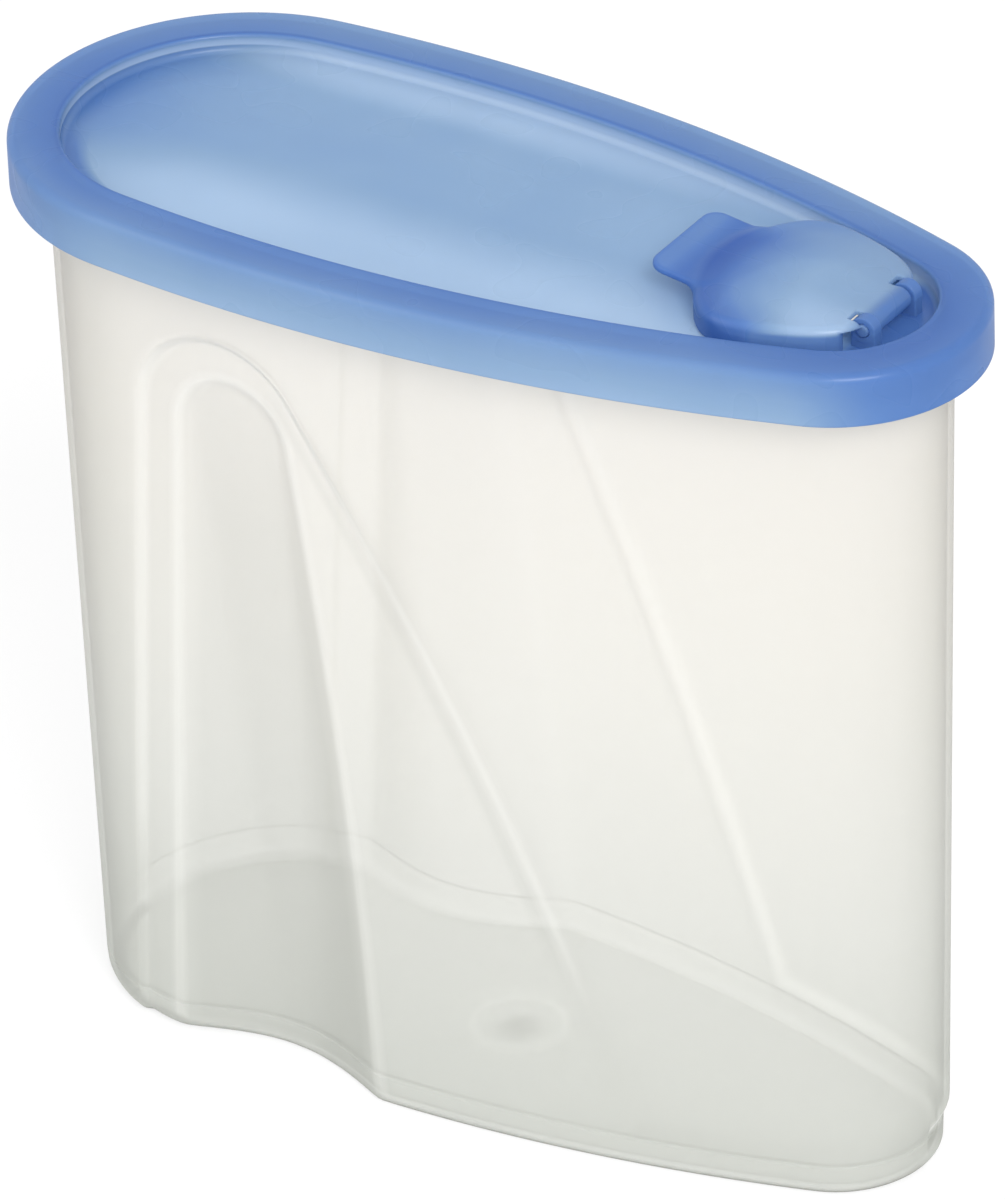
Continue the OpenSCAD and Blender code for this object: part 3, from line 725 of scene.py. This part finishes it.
def make_lid():
    lid = LidRings()
    add_rim(lid)
    add_panel(lid)
    add_plug(lid)
    faces = [f[::-1] for f in ring_faces(len(lid.rings), len(lid.points), True)]
    piece = new_mesh("lid_shell", np.vstack(lid.rings), faces, "lid",
                     {"tone": np.concatenate(lid.tones)})
    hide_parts("lid")
    return piece


# Rounded solids from distance fields, in millimetres

def smooth_max(a, b, k):
    h = np.maximum(k - np.abs(a - b), 0) / k
    return np.maximum(a, b) + h * h * k / 4


def smooth_min(a, b, k):
    return -smooth_max(-a, -b, k)


def round_both(a, b, r):
    """Where two solids meet, with the edge between them rounded to radius r."""
    u, v = a + r, b + r
    return np.minimum(np.maximum(u, v), 0) + np.hypot(np.maximum(u, 0), np.maximum(v, 0)) - r


def box_field(p, centre, half, r):
    q = [np.abs(p[i] - centre[i]) - (half[i] - r) for i in range(3)]
    outside = np.sqrt(sum(np.maximum(c, 0) ** 2 for c in q))
    return outside + np.minimum(np.maximum(q[0], np.maximum(q[1], q[2])), 0) - r


def cylinder_y(p, x, z, radius, half_len, r):
    """A cylinder along Y with its ends rounded."""
    return round_both(np.hypot(p[0] - x, p[2] - z) - radius, np.abs(p[1]) - half_len, r)


def flap_plan(x, y, inset):
    """Distance from the flap's outline, negative inside."""
    long_r = SIDE_R - RIM_W - FLAP_SIDE_GAP - inset
    rear = np.hypot(x - FLAP_REAR_X - FLAP_TAIL_R, y) - (FLAP_TAIL_R - inset)
    front = np.hypot(x - FLAP_FRONT_X + FLAP_NOSE_R, y) - (FLAP_NOSE_R - inset)
    near = np.hypot(x - SIDE_X, y - SIDE_Y) - long_r
    far = np.hypot(x - SIDE_X, y + SIDE_Y) - long_r
    sides = smooth_max(near, far, 0.5)
    return smooth_max(smooth_max(rear, sides, OUTLINE_BLEND_R), front, OUTLINE_BLEND_R)


def flap_height(x, y):
    """Height of the flap's crowned top."""
    return FLAP_TOP_Z + FLAP_CROWN * ease(-flap_plan(x, y, 0) / 16)


def tab_place(p):
    """Distance from the tab's outline and height over its top face."""
    tilt = math.radians(TAB_TILT)
    root_x, root_z = FLAP_REAR_X + FLAP_ROUND, FLAP_TOP_Z
    u = (p[0] - root_x) * math.cos(tilt) - (p[2] - root_z) * math.sin(tilt)
    w = (p[0] - root_x) * math.sin(tilt) + (p[2] - root_z) * math.cos(tilt)
    mid = (TAB_ROOT - TAB_LEN) / 2
    qx = np.abs(u - mid) - ((TAB_ROOT + TAB_LEN) / 2 - TAB_ROUND)
    qy = np.abs(p[1]) - (TAB_W / 2 - TAB_ROUND)
    plan = np.hypot(np.maximum(qx, 0), np.maximum(qy, 0)) + np.minimum(np.maximum(qx, qy), 0) - TAB_ROUND
    return plan, w


def tab_field(p):
    plan, w = tab_place(p)
    return round_both(plan, np.abs(w + TAB_T / 2) - TAB_T / 2, TAB_EDGE_R)


def flap_field(p):
    x, y, z = p
    top = flap_height(x, y)
    dome = round_both(flap_plan(x, y, 0), z - top, FLAP_ROUND)
    hollow = round_both(flap_plan(x, y, LID_T), z - top + LID_T, HOLLOW_R)
    shell = smooth_max(dome, -hollow, SHELL_R)
    shell = smooth_max(shell, FLAP_LOW_Z - z, LOW_EDGE_R)
    solid = smooth_min(shell, tab_field(p), TAB_BLEND_R)
    solid = smooth_max(solid, -hollow, SHELL_R)
    front_low = np.maximum(HINGE_X - KNUCKLE_R - EAR_GAP - x, z - (FLAP_TOP_Z - LID_T))
    solid = smooth_max(solid, -front_low, SHELL_R)
    slot_r = EAR_R + EAR_GAP
    slot_x = HINGE_X - slot_r + FLAP_LEN / 2
    slot_y = EAR_IN + EAR_T / 2
    slot_half = (FLAP_LEN / 2, EAR_T / 2 + EAR_GAP, FLAP_LEN)
    slot = box_field((x, np.abs(y), z), (slot_x, slot_y, FLAP_LOW_Z), slot_half, SHARP_R)
    solid = smooth_max(solid, -slot, SHELL_R)
    knuckle = cylinder_y(p, HINGE_X, HINGE_Z, KNUCKLE_R, EAR_IN - EAR_GAP, SHARP_R)
    pins = cylinder_y(p, HINGE_X, HINGE_Z, PIN_R, EAR_IN + EAR_T + EAR_GAP, SHARP_R)
    return np.minimum(smooth_min(solid, knuckle, KNUCKLE_BLEND_R), pins)


def ear_field(p):
    x, y, z = p[0], np.abs(p[1]) - EAR_IN - EAR_T / 2, p[2]
    post = box_field((x, y, z), (HINGE_X, 0, (PANEL_Z - 0.4 + HINGE_Z) / 2),
                     (EAR_R, EAR_T / 2, (HINGE_Z - PANEL_Z + 0.4) / 2), EAR_EDGE_R)
    head = round_both(np.hypot(x - HINGE_X, z - HINGE_Z) - EAR_R, np.abs(y) - EAR_T / 2, EAR_EDGE_R)
    eye = np.hypot(x - HINGE_X, z - HINGE_Z) - (PIN_R + PIN_GAP)
    return smooth_max(smooth_min(post, head, SHARP_R), -eye, SHARP_R)


def next_along(axis):
    """Slices of a grid that pair each value with the next one along an axis."""
    first, second = [slice(None)] * 3, [slice(None)] * 3
    first[axis], second[axis] = slice(0, -1), slice(1, None)
    return tuple(first), tuple(second)


def surface_net(field, low, high, step):
    """Points and quads of a field's zero surface: a point in each grid cell it crosses, drawn onto it."""
    low = np.asarray(low, float)
    counts = [int(math.ceil((h - l) / step)) + 1 for l, h in zip(low, high)]
    axes = [low[i] + step * np.arange(counts[i]) for i in range(3)]
    grid = np.meshgrid(*axes, indexing="ij")
    values = field(grid)
    inside = values < 0
    cells = [n - 1 for n in counts]
    total, hits = np.zeros(cells + [3]), np.zeros(cells)
    for axis in range(3):
        a, b = next_along(axis)
        va, vb = values[a], values[b]
        crossed = inside[a] != inside[b]
        t = np.where(crossed, va / np.where(va == vb, 1, va - vb), 0)
        others = [i for i in range(3) if i != axis]
        for du in (0, 1):
            for dv in (0, 1):
                s = [slice(None)] * 3
                s[others[0]] = slice(du, du + cells[others[0]])
                s[others[1]] = slice(dv, dv + cells[others[1]])
                c, tt = crossed[tuple(s)], t[tuple(s)]
                hits += c
                total[..., axis] += np.where(c, tt, 0)
                total[..., others[0]] += np.where(c, du, 0)
                total[..., others[1]] += np.where(c, dv, 0)
    used = hits > 0
    number = np.full(cells, -1)
    number[used] = np.arange(used.sum())
    where = np.argwhere(used)
    points = low + step * (where + total[used] / hits[used][:, None])
    quads = []
    for axis in range(3):
        a, b = next_along(axis)
        change = inside[a].astype(int) - inside[b].astype(int)
        u, v = (axis + 1) % 3, (axis + 2) % 3
        spots = np.argwhere(change != 0)
        in_u = (spots[:, u] > 0) & (spots[:, u] < cells[u])
        in_v = (spots[:, v] > 0) & (spots[:, v] < cells[v])
        spots = spots[in_u & in_v]
        sign = change[tuple(spots.T)]
        corners = []
        for du, dv in ((-1, -1), (0, -1), (0, 0), (-1, 0)):
            c = spots.copy()
            c[:, u] += du
            c[:, v] += dv
            corners.append(number[tuple(c.T)])
        quad = np.column_stack(corners)
        quad[sign < 0] = quad[sign < 0][:, ::-1]
        quads.append(quad)
    quads = np.vstack(quads)
    for _ in range(2):
        value = field(points.T)
        slope = np.column_stack([(field((points + d).T) - field((points - d).T)) / (2 * SLOPE_STEP)
                                 for d in np.eye(3) * SLOPE_STEP])
        length = np.maximum((slope ** 2).sum(1), 0.25)
        move = -(value / length)[:, None] * slope
        size = np.linalg.norm(move, axis=1)
        move *= np.minimum(1, step * 0.5 / np.maximum(size, 1e-9))[:, None]
        points = points + move
    return points, quads.tolist()


# Tones of the flap, and the dark band inside its rear edge, partly its rear wall seen through the tab and
# partly painted shade under the tab: distance in and added tone
TONE_FLAP_WALL = 0.55
TONE_TAB = 0.54
TONE_TAB_EDGE = 0.14
TONE_TAB_ROOT = 0.78
TONE_EAR = 0.6
BAND_IN = (0.0, 2.0, 5.0, 9.0, 15.0, 24.0)
BAND_TONE = (0.6, 0.74, 0.64, 0.36, 0.16, 0.0)


def make_flap():
    low = (FLAP_REAR_X - TAB_LEN - 1, -FLAP_REACH, FLAP_LOW_Z - 1)
    high = (FLAP_FRONT_X + 1, FLAP_REACH, FLAP_TOP_Z + 2.6)
    points, quads = surface_net(flap_field, low, high, FLAP_CELL)
    x, y, z = points.T
    rear = np.hypot(x - FLAP_REAR_X - FLAP_TAIL_R, y) - FLAP_TAIL_R
    # Painted light along the near side of the top, and painted shade towards the hinge, partly the knuckle's
    # own layers
    top = TONE_PANEL - 0.13 * ease((-y - 2) / 14) + 0.34 * ease((x - FLAP_FRONT_X + 5) / 4)
    # The rear band: partly the rear wall seen through the tab, partly painted shade under the tab
    band = np.interp(-rear, BAND_IN, BAND_TONE) * (1 - 0.7 * ease((y - 6) / 12))
    top = top + band * ease((FLAP_REAR_X + 34 - x) / 14)
    wall = TONE_FLAP_WALL * ease((FLAP_TOP_Z - 0.8 - z) / 1.5)
    tab = TONE_TAB + TONE_TAB_EDGE * ease(1 + tab_place(points.T)[0] / 1.6)
    # Painted shade at the tab's root, partly the flap's rear wall beneath it
    tab = mix(tab, TONE_TAB_ROOT, ease((x - FLAP_REAR_X + 5.5) / 5))
    tone = mix(np.maximum(top, wall), tab, ease(0.5 + rear / 1.5) * ease((FLAP_REAR_X + 6 - x) / 3))
    piece = new_mesh("flap_shell", points, quads, "flap", {"tone": tone})
    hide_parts("pour_flap")
    return piece


def make_ears():
    reach = EAR_IN + EAR_T + 0.6
    points, quads = surface_net(ear_field, (HINGE_X - EAR_R - 0.6, -reach, PANEL_Z - 0.9),
                                (HINGE_X + EAR_R + 0.6, reach, HINGE_Z + EAR_R + 0.6), EAR_CELL)
    return new_mesh("hinge_ears", points, quads, "lid",
                    {"tone": np.full(len(points), TONE_EAR)})


# Materials

def material(name):
    made = bpy.data.materials.new(name)
    made.use_nodes = True
    made.node_tree.nodes.clear()
    return made, made.node_tree.nodes, made.node_tree.links


def fine_texture(nodes, links, scale, detail, strength, distance):
    """The fine skin of a moulded plastic, as a bump."""
    place = nodes.new("ShaderNodeTexCoord")
    noise = nodes.new("ShaderNodeTexNoise")
    noise.inputs["Scale"].default_value = scale
    noise.inputs["Detail"].default_value = detail
    links.new(place.outputs["Object"], noise.inputs["Vector"])
    bump = nodes.new("ShaderNodeBump")
    bump.inputs["Strength"].default_value = strength
    bump.inputs["Distance"].default_value = distance
    links.new(noise.outputs["Fac"], bump.inputs["Height"])
    return place, noise, bump


def map_range(nodes, links, source, low, high, to_low, to_high):
    node = nodes.new("ShaderNodeMapRange")
    for key, value in (("From Min", low), ("From Max", high), ("To Min", to_low), ("To Max", to_high)):
        node.inputs[key].default_value = value
    links.new(source, node.inputs["Value"])
    return node.outputs["Result"]


def colour_ramp(nodes, links, source, stops):
    node = nodes.new("ShaderNodeValToRGB")
    while len(node.color_ramp.elements) < len(stops):
        node.color_ramp.elements.new(0.5)
    for element, (place, colour) in zip(node.color_ramp.elements, stops):
        element.position = place
        element.color = (*colour, 1)
    links.new(source, node.inputs["Fac"])
    return node.outputs["Color"]


def linear(r, g, b):
    """A colour written in 0 to 255 as it looks, in linear light."""
    shares = (r / 255, g / 255, b / 255)
    return tuple(c / 12.92 if c <= 0.04045 else ((c + 0.055) / 1.055) ** 2.4 for c in shares)


def attribute(nodes, name):
    node = nodes.new("ShaderNodeAttribute")
    node.attribute_name = name
    return node.outputs["Fac"]


def combine(nodes, links, operation, a, b):
    node = nodes.new("ShaderNodeMath")
    node.operation = operation
    node.use_clamp = True
    links.new(a, node.inputs[0])
    links.new(b, node.inputs[1])
    return node.outputs["Value"]


def tinted(nodes, links, share, a, b):
    """Colour a turning to colour b by share; b is a plain colour."""
    node = nodes.new("ShaderNodeMix")
    node.data_type = "RGBA"
    links.new(share, node.inputs["Factor"])
    links.new(a, node.inputs[6])
    node.inputs[7].default_value = (*b, 1)
    return node.outputs[2]


def moulded(nodes, links, base, bump, roughness, ior, gloss, glow_share):
    """Glossy coloured plastic, with a share of the light that shines through it from behind."""
    plastic = nodes.new("ShaderNodeBsdfPrincipled")
    plastic.inputs["IOR"].default_value = ior
    plastic.inputs["Specular IOR Level"].default_value = gloss
    links.new(base, plastic.inputs["Base Color"])
    links.new(roughness, plastic.inputs["Roughness"])
    links.new(bump.outputs["Normal"], plastic.inputs["Normal"])
    back = nodes.new("ShaderNodeBsdfTranslucent")
    links.new(base, back.inputs["Color"])
    both = nodes.new("ShaderNodeMixShader")
    both.inputs["Fac"].default_value = glow_share
    links.new(plastic.outputs["BSDF"], both.inputs[1])
    links.new(back.outputs["BSDF"], both.inputs[2])
    return both.outputs["Shader"]


def see_through(nodes, links, clear, scatter):
    """The material's surface, from clear to scatter by its Fac, which is still to be set."""
    surface = nodes.new("ShaderNodeMixShader")
    links.new(clear.outputs["BSDF"], surface.inputs[1])
    links.new(scatter, surface.inputs[2])
    output = nodes.new("ShaderNodeOutputMaterial")
    links.new(surface.outputs["Shader"], output.inputs["Surface"])
    return surface.inputs["Fac"]


def milky_plastic():
    """Natural polypropylene: milky, seen through and greyer edge on, with painted highlights along its
    creases, painted shade in its hollows and painted shade towards the bottom.
    """
    made, nodes, links = material("milky_plastic")
    place, noise, bump = fine_texture(nodes, links, 110, 3, 0.2, 0.0002)
    split = nodes.new("ShaderNodeSeparateXYZ")
    links.new(place.outputs["Object"], split.inputs["Vector"])
    # Painted shade: the milky colour greys towards the bottom and is warmest white at the top
    height = map_range(nodes, links, split.outputs["Z"], 0.0, 0.2, 0.0, 1.0)
    base = colour_ramp(nodes, links, height, [(0.0, linear(226, 228, 222)), (0.35, linear(240, 240, 235)),
                                              (1.0, linear(253, 248, 240))])
    # Painted shade: the hollow mark greys the colour in the grip, the gate's dimple, beside the step and
    # under the near foot
    hollow = attribute(nodes, "hollow")
    base = tinted(nodes, links, hollow, base, linear(168, 169, 162))
    # Painted highlight: the crease mark lifts the colour to white and makes the plastic milkier there
    crease_highlight = attribute(nodes, "crease_highlight")
    base = tinted(nodes, links, crease_highlight, base, linear(255, 255, 251))
    roughness = map_range(nodes, links, noise.outputs["Fac"], 0.3, 0.7, 0.36, 0.46)
    scatter = moulded(nodes, links, base, bump, roughness, 1.49, 0.35, 0.4)
    facing = nodes.new("ShaderNodeLayerWeight")
    facing.inputs["Blend"].default_value = 0.5
    clear = nodes.new("ShaderNodeBsdfTransparent")
    edge_on = colour_ramp(nodes, links, facing.outputs["Facing"], [
        (0.0, (1, 1, 1)), (0.3, (0.96, 0.96, 0.955)), (0.6, (0.81, 0.815, 0.8)), (1.0, (0.34, 0.35, 0.33))])
    links.new(tinted(nodes, links, map_range(nodes, links, crease_highlight, 0.0, 1.0, 0.0, 0.7), edge_on, (1, 1, 1)),
              clear.inputs["Color"])
    milk = map_range(nodes, links, facing.outputs["Facing"], 0.0, 1.0, 0.5, 0.66)
    milk = combine(nodes, links, "ADD", milk, map_range(nodes, links, crease_highlight, 0.0, 1.0, 0.0, 0.3))
    milk = combine(nodes, links, "ADD", milk, map_range(nodes, links, hollow, 0.3, 1.0, 0.0, 0.2))
    thin = map_range(nodes, links, attribute(nodes, "inside"), 0.0, 1.0, 1.0, 0.12)
    links.new(combine(nodes, links, "MULTIPLY", milk, thin), see_through(nodes, links, clear, scatter))
    return made


def blue_plastic(name, solid_share, roughness):
    """Translucent blue plastic, deeper where its layers lie over each other and where shade is painted into
    its tone.
    """
    made, nodes, links = material(name)
    place, noise, bump = fine_texture(nodes, links, 90, 0, 0.1, 0.0001)
    cloud = nodes.new("ShaderNodeTexNoise")
    cloud.inputs["Scale"].default_value = 22
    cloud.inputs["Detail"].default_value = 2
    links.new(place.outputs["Object"], cloud.inputs["Vector"])
    drift = map_range(nodes, links, cloud.outputs["Fac"], 0.3, 0.7, -0.03, 0.03)
    base = colour_ramp(nodes, links, combine(nodes, links, "ADD", attribute(nodes, "tone"), drift), [
        (0.0, linear(194, 217, 239)), (0.25, linear(150, 180, 210)), (0.42, linear(125, 160, 204)),
        (0.62, linear(98, 139, 200)), (0.8, linear(82, 124, 192)), (1.0, linear(60, 104, 182))])
    rough = map_range(nodes, links, noise.outputs["Fac"], 0.3, 0.7, roughness - 0.04, roughness + 0.05)
    scatter = moulded(nodes, links, base, bump, rough, 1.5, 0.45, 0.35)
    clear = nodes.new("ShaderNodeBsdfTransparent")
    clear.inputs["Color"].default_value = (0.62, 0.78, 0.98, 1)
    see_through(nodes, links, clear, scatter).default_value = solid_share
    return made


# Stage: floor, light and camera, its sizes and places in metres

FLOOR_SIZE = 30.0
WHITE_FROM = 0.4
WHITE_FULL = 1.6
WHITE_SHARE = 0.7
WORLD_LEVEL = 0.9
KEY_WATTS = 44.0
FILL_WATTS = 12.0
LAMP_AIM = (0, 0, 0.1)


def seen_by_camera(nodes, links):
    """1 for a ray that the camera sends, directly, in gloss or through the plastic, and 0 for others."""
    path = nodes.new("ShaderNodeLightPath")
    seen = path.outputs["Is Camera Ray"]
    for key in ("Is Glossy Ray", "Is Transmission Ray"):
        either = nodes.new("ShaderNodeMath")
        either.operation = "MAXIMUM"
        links.new(seen, either.inputs[0])
        links.new(path.outputs[key], either.inputs[1])
        seen = either.outputs["Value"]
    return seen


def white_to_camera(nodes, links, surface):
    """Mixes plain white into what the camera sees of the floor, and all white well away from the object."""
    place = nodes.new("ShaderNodeTexCoord")
    length = nodes.new("ShaderNodeVectorMath")
    length.operation = "LENGTH"
    links.new(place.outputs["Object"], length.inputs[0])
    white_share = map_range(nodes, links, length.outputs["Value"], WHITE_FROM, WHITE_FULL, WHITE_SHARE, 1.0)
    share = nodes.new("ShaderNodeMath")
    share.operation = "MULTIPLY"
    links.new(seen_by_camera(nodes, links), share.inputs[0])
    links.new(white_share, share.inputs[1])
    white = nodes.new("ShaderNodeEmission")
    both = nodes.new("ShaderNodeMixShader")
    links.new(share.outputs["Value"], both.inputs["Fac"])
    links.new(surface, both.inputs[1])
    links.new(white.outputs["Emission"], both.inputs[2])
    return both.outputs["Shader"]


def make_floor():
    half = FLOOR_SIZE / 2
    mesh = bpy.data.meshes.new("floor")
    corners = [(-half, -half, 0), (half, -half, 0), (half, half, 0), (-half, half, 0)]
    mesh.from_pydata(corners, [], [(0, 1, 2, 3)])
    piece = bpy.data.objects.new("floor", mesh)
    bpy.context.scene.collection.objects.link(piece)
    made, nodes, links = material("pale_floor")
    paper = nodes.new("ShaderNodeBsdfDiffuse")
    paper.inputs["Color"].default_value = (0.9, 0.9, 0.9, 1)
    output = nodes.new("ShaderNodeOutputMaterial")
    links.new(white_to_camera(nodes, links, paper.outputs["BSDF"]), output.inputs["Surface"])
    mesh.materials.append(made)


def make_world(strength):
    world = bpy.data.worlds.new("studio")
    bpy.context.scene.world = world
    world.use_nodes = True
    nodes, links = world.node_tree.nodes, world.node_tree.links
    nodes.clear()
    level = map_range(nodes, links, seen_by_camera(nodes, links), 0.0, 1.0, strength, 1.0)
    sky = nodes.new("ShaderNodeBackground")
    sky.inputs["Color"].default_value = (1, 1, 1, 1)
    links.new(level, sky.inputs["Strength"])
    output = nodes.new("ShaderNodeOutputWorld")
    links.new(sky.outputs["Background"], output.inputs["Surface"])


def make_lamp(name, place, size, power, aim):
    light = bpy.data.lights.new(name, "AREA")
    light.shape = "DISK"
    light.size = size
    light.energy = power
    lamp = bpy.data.objects.new(name, light)
    bpy.context.scene.collection.objects.link(lamp)
    lamp.location = place
    lamp.rotation_euler = (Vector(aim) - Vector(place)).to_track_quat("-Z", "Y").to_euler()


# The camera stands where the photograph was taken from; its distance and target are in millimetres
VIEW_AZIMUTH = math.radians(33.88)
VIEW_ELEVATION = math.radians(32.0)
VIEW_ROLL = math.radians(-2.2)
VIEW_DISTANCE = 2500.0
VIEW_TARGET = (-7.88, 7.21, 109.98)
FOCAL_PIXELS = 11150.0
FRAME_HEIGHT = 1200.0


def make_camera():
    data = bpy.data.cameras.new("camera")
    data.sensor_width = 36.0
    data.lens = FOCAL_PIXELS * data.sensor_width / FRAME_HEIGHT
    data.clip_end = 100.0
    camera = bpy.data.objects.new("camera", data)
    bpy.context.scene.collection.objects.link(camera)
    a, e, roll = VIEW_AZIMUTH, VIEW_ELEVATION, VIEW_ROLL
    right = Vector((math.cos(a), math.sin(a), 0))
    back = Vector((math.sin(a) * math.cos(e), -math.cos(a) * math.cos(e), math.sin(e)))
    up = back.cross(right)
    image_right = math.cos(roll) * right + math.sin(roll) * up
    image_up = -math.sin(roll) * right + math.cos(roll) * up
    place = (Vector(VIEW_TARGET) + back * VIEW_DISTANCE) * MM
    facing = Matrix((image_right, image_up, back)).transposed().to_4x4()
    camera.matrix_world = Matrix.Translation(place) @ facing
    bpy.context.scene.camera = camera


def build():
    container, lid, flap, ears = make_container(), make_lid(), make_flap(), make_ears()
    container.data.materials.append(milky_plastic())
    lid_blue = blue_plastic("lid_blue", 0.8, 0.3)
    lid.data.materials.append(lid_blue)
    ears.data.materials.append(lid_blue)
    flap.data.materials.append(blue_plastic("flap_blue", 0.78, 0.28))


bpy.context.scene.view_settings.view_transform = "Standard"
make_camera()
build()
make_floor()
make_world(WORLD_LEVEL)
make_lamp("key", (1.5, -1.3, 1.9), 1.2, KEY_WATTS, LAMP_AIM)
make_lamp("fill", (-1.2, -1.6, 1.6), 1.6, FILL_WATTS, LAMP_AIM)
